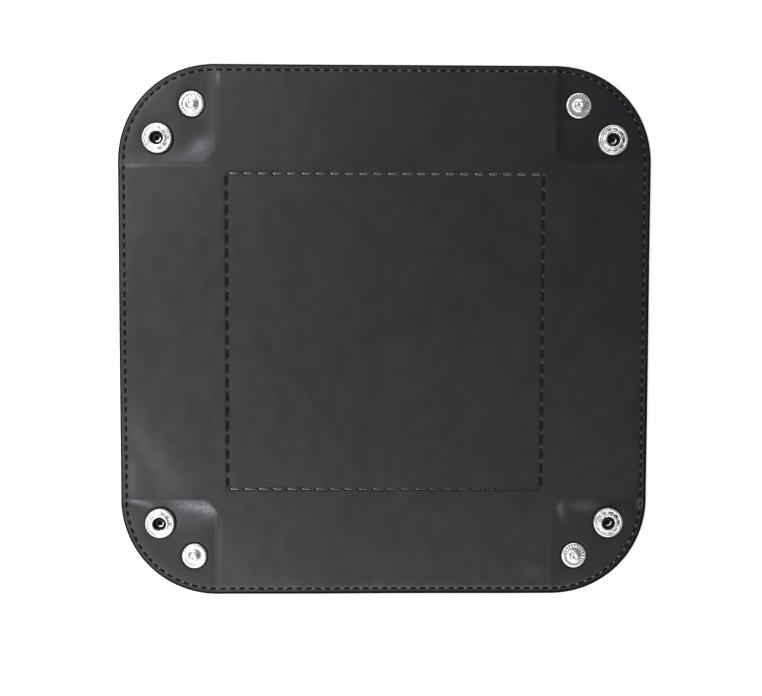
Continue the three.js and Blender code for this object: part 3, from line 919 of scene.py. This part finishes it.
# An oval is carried along each stitch. It sinks with the sixth power of the distance from the stitch's
# middle, and narrows with the third.
def stitchThreads(centres, angles, form, surface, sign, dry):
    along = np.linspace(-1, 1, form["rings"])[None, :, None]
    turn = np.linspace(0, 1, form["sides"], endpoint=False)[None, None, :]
    lift = form["rise"] - (form["rise"] + form["sink"]) * np.abs(along) ** 6
    taper = 1 - form["taper"] * np.abs(along) ** 3
    way = heading(angles + math.radians(form["slant"]))[:, None, None, :]
    beside = np.stack([-way[..., 1], way[..., 0]], axis=-1)
    bearing = 2 * np.pi * turn - np.pi / 2
    flat = (centres[:, None, None, :] + way * (along * form["length"] / 2)[..., None]
            + beside * (np.cos(bearing) * taper * form["width"] / 2)[..., None])
    z = surface[:, None, None] + sign * (lift + np.sin(bearing) * taper * form["thick"] / 2)
    points = np.concatenate([flat, z[..., None]], axis=-1)
    thread = np.stack(np.broadcast_arrays(along * form["length"] / 2, turn, dry[:, None, None]), axis=-1)
    index = np.arange(z.size).reshape(z.shape)
    return points.reshape(-1, 3), thread.reshape(-1, 3), [tubeCells(index), index[:, 0], index[:, -1, ::-1]]


# Both faces of a seam in one piece. The seam's line is given by points, headings and the stitches' form.
def makeStitches(name, centres, angles, form, seam, material, dry=0.0):
    dry = np.broadcast_to(dry, len(centres))
    x, y = centres[:, 0], centres[:, 1]
    sunk = seam["depth"] * (1 - seam["pucker"])  # halfway between two holes
    over = faceZ + sheetRise(x, y) - sunk
    under = coverZ + sheetRise(x, y) + sunk * sheetForm["lowSeamShare"]
    parts = [stitchThreads(centres, angles, form, *face, dry) for face in ((over, 1), (under, -1))]
    points, thread = (np.concatenate([part[i] for part in parts]) for i in (0, 1))
    first = len(parts[0][0])
    faces = [group + number * first for number, part in enumerate(parts) for group in part[2]]
    return makePiece(name, points, faces, material, "thread", threadPlace=thread)


def stitchMiddles(low, high, count):
    return low + (high - low) * (np.arange(count) + 0.5) / count


def makeBaseSeam():
    count = baseSeam["stitches"]
    along = stitchMiddles(-baseSeamHalf, baseSeamHalf, count)
    rows = [np.stack(atSide(side, along, baseSeamHalf), axis=-1) for side in sides]
    angles = np.repeat(np.arange(len(sides)) * math.pi / 2, count)
    dry = np.concatenate([np.linspace(*baseSeam["dry"][side], count)[::-1] for side in sides])
    line = np.concatenate(rows)
    seam = makeStitches("base_seam_stitches", line, angles, baseStitch, baseSeam, seamThread, dry)
    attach(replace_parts(seam, "base_seam_thread"), "base")


def makeEdgeStitches(owner, line, angles):
    return makeStitches(f"{owner}_edge_stitches", line, angles, edgeStitch, edgeSeam, shadedEdgeThread)


def makeRoundStitches(name, owner, angle):
    line = np.stack(roundCorner(name, wallHeight - edgeSeamInset, angle), axis=-1)
    return makeEdgeStitches(f"{name}_{owner}", line, cornerPlaces[name]["diagonal"] + angle - math.pi / 2)


def makeEdgeSeam():
    count = edgeSeam["wallStitches"]
    along = stitchMiddles(-creaseHalf, creaseHalf, count)
    for turn, side in enumerate(sides):
        line = np.stack(atSide(side, along, outerHalf - edgeSeamInset), axis=-1)
        seam = makeEdgeStitches(f"{side}_wall", line, np.full(count, turn * math.pi / 2))
        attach(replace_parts(seam, f"{side}_wall_edge_thread"), f"{side}_wall")
    flapAngles = stitchMiddles(stripHalf, halfCorner, edgeSeam["flapStitches"])
    stripAngles = stitchMiddles(-stripHalf, stripHalf, edgeSeam["stripStitches"])
    for name in corners:
        for kind in ("stud", "socket"):
            bendFlap(makeRoundStitches(name, f"{kind}_flap", flapTurn(name, kind) * flapAngles))
        bendStrip(makeRoundStitches(name, "fold_strip", stripAngles))


makeBaseSeam()
makeEdgeSeam()
print("seams sewn")


# Snaps: profiles are radius and height above the lining's face, with the rounding at each corner. Dashes are
# pressed in between two radii, above a height. A mouth is painted dark, as its shade, within a radius, below
# a height.
studForm = {
    "profile": [(0, 2.98, 0), (0.5, 2.98, 0.25), (0.85, 3.2, 0.3), (1.5, 3.1, 0.4), (1.92, 2.55, 0.35),
                (1.62, 1.9, 0.3), (1.72, 1.05, 0.25), (2.5, 0.72, 0.3), (3.1, 0.70, 0.2), (3.9, 0.80, 0.3),
                (4.5, 0.68, 0.3), (4.8, 0.3, 0.2), (4.72, -0.1, 0.05), (1.3, -0.1, 0.02), (1.3, 1.3, 0.02),
                (0, 1.3, 0)],
    "sides": 176, "dashes": 22, "dashRadii": (2.9, 4.3), "dashFrom": 0.2, "dashDepth": 0.14,
    "dashShare": 0.34, "dashShade": 0.9,
}
socketForm = {
    "profile": [(2.0, -0.1, 0.02), (5.5, -0.1, 0.05), (5.6, 0.2, 0.1), (5.6, 1.72, 0.3), (5.15, 2.1, 0.35),
                (4.5, 2.0, 0.3), (4.3, 1.62, 0.15), (3.72, 1.62, 0.15), (3.62, 2.1, 0.25), (3.4, 2.85, 0.3),
                (2.95, 3.0, 0.25), (2.5, 2.86, 0.2), (2.5, 2.55, 0.03), (3.3, 2.5, 0.05), (3.3, 1.5, 0.05),
                (2.5, 1.4, 0.05), (2.5, 0.5, 0.1), (2.0, 0.5, 0.02)],
    "sides": 180, "dashes": 10, "dashRadii": (3.6, 4.4), "dashFrom": 1.0, "dashDepth": 0.35,
    "dashShare": 0.66, "dashShade": 1.0, "mouth": (2.62, 2.5),
}
capForm = {
    "profile": [(0, -3.5, 0), (2.6, -3.46, 0.8), (5.2, -2.75, 0.8), (6.0, -2.12, 0.15), (5.85, -1.98, 0.05),
                (1.7, -1.98, 0.02), (1.7, 0.5, 0.02), (2.15, 0.52, 0.05), (1.95, 0.62, 0.1), (1.5, 0.93, 0.2),
                (1.1, 0.95, 0.2), (0.72, 0.45, 0.15), (0.68, -1.4, 0.1), (0, -1.4, 0)],
    "sides": 96, "headFrom": -1.5, "darkRings": [(0.0, 0.8), (1.55, 2.3)], "litRing": (0.8, 1.55),
    "litToward": math.radians(-50), "litRange": (0.2, 0.8), "litShare": 0.95,
}
postForm = {
    "profile": [(0, -3.3, 0), (1.3, -3.32, 0.2), (1.55, -3.5, 0.1), (3.2, -3.42, 0.6), (4.75, -2.75, 0.6),
                (5.2, -2.2, 0.2), (5.1, -1.98, 0.05), (1.0, -1.98, 0.02), (1.0, 0.9, 0.1), (0, 0.95, 0)],
    "sides": 96,
}
# Points on a rounding, the most of a side that it takes, the least step, and how softly dashes end
turning = {"roundPoints": 5, "mostRound": 0.48, "leastStep": 1e-4, "dashEase": 0.15, "dashSoft": 0.25}
# Which way the dashes of each corner's snaps are deepest and darkest with painted shade, in degrees from the
# right, and how much
snapDashSides = {"back_left": (-35, 0.5), "front_left": (50, 0.45), "front_right": (40, 1.0),
            "back_right": (10, 1.0)}
dashSideForm = {"everywhere": 0.35, "oneSide": 0.6, "patchy": 0.3, "patches": 3.0, "patchStart": 0.6}
springForm = {"radius": 2.82, "wire": 0.34, "height": 2.0, "gap": math.radians(40), "steps": 72, "sides": 12,
              "endRound": 0.98}


# Each corner of a profile becomes a short parabola between points on its two sides
def roundedProfile(profile, closed):
    corner = np.array(profile)
    points, rounding = corner[:, :2], corner[:, 2]

    # The point on the way to a neighbour where the rounding starts
    def toward(neighbours):
        way = neighbours - points
        length = np.maximum(np.linalg.norm(way, axis=1), tiny)
        return points + way * (np.minimum(rounding, turning["mostRound"] * length) / length)[:, None]

    start, end = toward(np.roll(points, 1, axis=0)), toward(np.roll(points, -1, axis=0))
    step = np.linspace(0, 1, turning["roundPoints"])[None, :, None]
    curve = (1 - step) ** 2 * start[:, None] + 2 * step * (1 - step) * points[:, None]
    line = (curve + step**2 * end[:, None]).reshape(-1, 2)
    steps = np.linalg.norm(np.diff(line, axis=0), axis=1)
    line = line[np.concatenate([[True], steps > turning["leastStep"]])]
    return np.concatenate([line, line[:1]]) if closed else line


# How deep the dashes are pressed, and how much painted shade they get, at each angle: more on one side, in a
# few patches
def dashAround(angle, dashSide):
    toDeepest = angle - math.radians(dashSide[0])
    patches = dashSideForm["patchy"] * np.cos(dashSideForm["patches"] * toDeepest + dashSideForm["patchStart"])
    return dashSide[1] * np.clip(dashSideForm["everywhere"] + dashSideForm["oneSide"] * np.cos(toDeepest) + patches, 0, 1)


# A turned piece: its profile goes round the snap's centre. Dashes are pressed into it at even angles.
def makeTurned(name, centre, form, material, slotName, lift, dashSide, closed=False):
    line = roundedProfile(form["profile"], closed)
    angle = np.linspace(0, 2 * np.pi, form["sides"], endpoint=False)
    radius, height = (np.repeat(line[:, i : i + 1], len(angle), axis=1) for i in (0, 1))
    recess = np.zeros_like(radius)
    if "dashes" in form:
        inner, outer = form["dashRadii"]
        ease, pressed = turning["dashEase"], height > form["dashFrom"]
        ring = smooth(inner, inner + ease, radius) * (1 - smooth(outer - ease, outer, radius)) * pressed
        least = 1 - 2 * form["dashShare"]
        dashes = smooth(least, least + turning["dashSoft"], np.cos(form["dashes"] * angle))
        dash = ring * (dashes * dashAround(angle, dashSide))[None, :]
        height = height - form["dashDepth"] * dash
        recess = dash * form["dashShade"]
    # painted shade inside the socket's mouth
    if "mouth" in form:
        within, below = form["mouth"]
        recess = np.maximum(recess, (radius < within) & (height < below))
    if "litRing" in form:  # painted shade on two rings of the rivet's head, and on the ring between them except at its front right
        head = height > form["headFrom"]
        for inner, outer in form["darkRings"]:
            recess = np.maximum(recess, (radius >= inner) & (radius <= outer) & head)
        inner, outer = form["litRing"]
        lit = smooth(*form["litRange"], np.cos(angle - form["litToward"]))[None, :]
        between = (radius > inner) & (radius < outer) & head
        recess = np.maximum(recess, (1 - form["litShare"] * lit) * between)
    x, y = centre[0] + radius * np.cos(angle), centre[1] + radius * np.sin(angle)
    points = np.stack([x, y, height + faceZ + lift], axis=-1).reshape(-1, 3)
    index = np.arange(radius.size).reshape(radius.shape)
    return makePiece(name, points, [tubeCells(index)], material, slotName, recess=np.ravel(recess))


# An open ring of round wire with rounded ends, lying in the socket's groove
def makeSpring(name, centre, lift):
    form = springForm
    along = np.linspace(0, 1, form["steps"])[:, None]
    angle = form["gap"] / 2 + along * (2 * np.pi - form["gap"])
    endward = np.minimum(along, 1 - along) * form["radius"] * (2 * np.pi - form["gap"]) / form["wire"]
    wire = form["wire"] * np.sqrt(1 - np.clip(1 - endward, 0, form["endRound"]) ** 2)
    turn = np.linspace(0, 2 * np.pi, form["sides"], endpoint=False)[None, :]
    radius = form["radius"] + wire * np.cos(turn)
    points = np.stack([centre[0] + radius * np.cos(angle), centre[1] + radius * np.sin(angle),
                       faceZ + lift + form["height"] + wire * np.sin(turn)], axis=-1)
    index = np.arange(radius.size).reshape(radius.shape)
    faces = [tubeCells(index), index[:1, ::-1], index[-1:]]
    clean = np.zeros(radius.size)
    return makePiece(name, points.reshape(-1, 3), faces, springSteel, "spring_steel", recess=clean)


def makeSnaps(name):
    for kind in ("stud", "socket"):
        centre = snapCentres[f"{name}_{kind}"]
        lift = float(sheetRise(*(centre[:, None]))[0])
        body = f"{name}_{kind}_flap"
        finish = (nickelPlate, "nickel", lift, snapDashSides[name])
        if kind == "stud":
            pieces = {"stud": makeTurned(f"{name}_stud_metal", centre, studForm, *finish),
                      "stud_post": makeTurned(f"{name}_stud_post_metal", centre, postForm, *finish)}
        else:
            pieces = {"socket": makeTurned(f"{name}_socket_metal", centre, socketForm, *finish, closed=True),
                      "cap": makeTurned(f"{name}_cap_metal", centre, capForm, *finish),
                      "ring_spring": makeSpring(f"{name}_ring_spring_wire", centre, lift)}
        for node, piece in pieces.items():
            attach(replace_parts(piece, f"{name}_{node}"), body)


for name in corners:
    makeSnaps(name)
print("snaps pressed in")


# Stage: a pale floor, a light tent that is dim overhead, and soft lamps at the left, the back and the front
stageForm = {"floorHalf": 6.0, "floorDrop": 0.00008, "floorColour": (0.90, 0.90, 0.90, 1.0),
             "floorRoughness": 0.9, "floorGlow": (0.52, 1.0), "glowReach": (0.25, 1.2)}
tentForm = {"around": (0.77, 0.77, 0.79, 1.0), "overhead": (0.02, 0.02, 0.022, 1.0),
            "middle": (0.24, 0.26, 0.94), "reach": (0.22, 0.70), "leftFall": (-0.45, -0.10, 0.06),
            "rightFall": (0.20, 0.55, 0.05)}
white = (1.0, 1.0, 1.0, 1.0)
lampColour = (0.97, 0.95, 1.0)
lampForms = {
    "leftBackSoftbox": {"place": (-0.42, 0.33, 0.80), "size": (0.3, 0.3), "power": 3.05},
    "leftFrontSoftbox": {"place": (-0.42, -0.33, 0.80), "size": (0.3, 0.3), "power": 2.0},
    "backSoftbox": {"place": (0.0, 0.80, 0.60), "size": (1.0, 0.12), "power": 2.2},
    "frontSoftbox": {"place": (-0.06, -0.66, 0.74), "size": (1.0, 0.25), "power": 3.4},
}
cameraForm = {"target": (-1.53, -5.91, 2.5), "distance": 450.0, "lean": (-1.13, 3.23), "roll": -0.14,
              "lens": 56.17}


# The floor glows only for what looks at it or mirrors it, and more with the distance from the tray
def makeFloor():
    half, z = stageForm["floorHalf"], -stageForm["floorDrop"]
    mesh = bpy.data.meshes.new("floor")
    outline = [(-half, -half, z), (half, -half, z), (half, half, z), (-half, half, z)]
    mesh.from_pydata(outline, [], [(0, 1, 2, 3)])
    material, tree, shader = newMaterial("paleFloor")
    path = addNode(tree, "LightPath").outputs
    mirrored = calculate(tree, "MAXIMUM", path["Is Glossy Ray"], path["Is Transmission Ray"])
    seen = calculate(tree, "MAXIMUM", path["Is Camera Ray"], mirrored)
    place = addNode(tree, "TexCoord").outputs["Object"]
    away = addNode(tree, "VectorMath", {0: place}, operation="LENGTH").outputs["Value"]
    glow = spread(tree, away, *stageForm["glowReach"], *stageForm["floorGlow"])
    fill(tree, shader, {
        "Base Color": stageForm["floorColour"],
        "Roughness": stageForm["floorRoughness"],
        "Specular IOR Level": 0.0,
        "Emission Color": white,
        "Emission Strength": calculate(tree, "MULTIPLY", seen, glow),
    })
    mesh.materials.append(material)
    addObject("floor", mesh)


# The tent is bright in front and behind, dimmer at the sides, and has a dim hole overhead, a little to
# the right and the back of the middle. The camera sees it white.
def makeTent():
    world = bpy.data.worlds.new("lightTent")
    world.use_nodes = True
    bpy.context.scene.world = world
    tree = world.node_tree
    direction = addNode(tree, "TexCoord").outputs["Generated"]
    inputs = {0: direction, 1: Vector(tentForm["middle"]).normalized()}
    fromHole = addNode(tree, "VectorMath", inputs, operation="DISTANCE").outputs["Value"]
    toRight = addNode(tree, "SeparateXYZ", {0: direction}).outputs[0]
    farLeft, nearLeft, leftLevel = tentForm["leftFall"]
    nearRight, farRight, rightLevel = tentForm["rightFall"]
    left = spread(tree, toRight, farLeft, nearLeft, leftLevel, 1.0)
    right = spread(tree, toRight, nearRight, farRight, 1.0, rightLevel)
    between = calculate(tree, "MULTIPLY", left, right)
    bright = calculate(tree, "MULTIPLY", spread(tree, fromHole, *tentForm["reach"]), between)
    colour = mixColours(tree, bright, tentForm["overhead"], tentForm["around"])
    seen = addNode(tree, "LightPath").outputs["Is Camera Ray"]
    fill(tree, tree.nodes["Background"], {"Color": mixColours(tree, seen, colour, white)})


def makeLamps():
    for name, form in lampForms.items():
        data = bpy.data.lights.new(name, "AREA")
        data.shape = "RECTANGLE"
        data.size, data.size_y = form["size"]
        data.energy = form["power"]
        data.color = lampColour
        lamp = addObject(name, data)
        lamp.location = form["place"]
        lamp.rotation_euler = lamp.location.to_track_quat("Z", "Y").to_euler()  # aimed at the tray
        lamp.visible_camera = False


def makeCamera():
    data = bpy.data.cameras.new("overhead")
    data.lens = cameraForm["lens"]
    camera = addObject("overhead", data)
    back = Vector([math.sin(math.radians(lean)) for lean in cameraForm["lean"]] + [1.0]).normalized()
    camera.location = (Vector(cameraForm["target"]) + back * cameraForm["distance"]) * millimetre
    roll = math.radians(cameraForm["roll"])
    right = Vector((math.sin(roll), math.cos(roll), 0.0)).cross(back).normalized()
    camera.rotation_euler = Matrix((right, back.cross(right), back)).transposed().to_euler()
    bpy.context.scene.camera = camera


makeFloor()
makeTent()
makeLamps()
makeCamera()
bpy.context.scene.view_settings.view_transform = "Standard"
print("stage set")
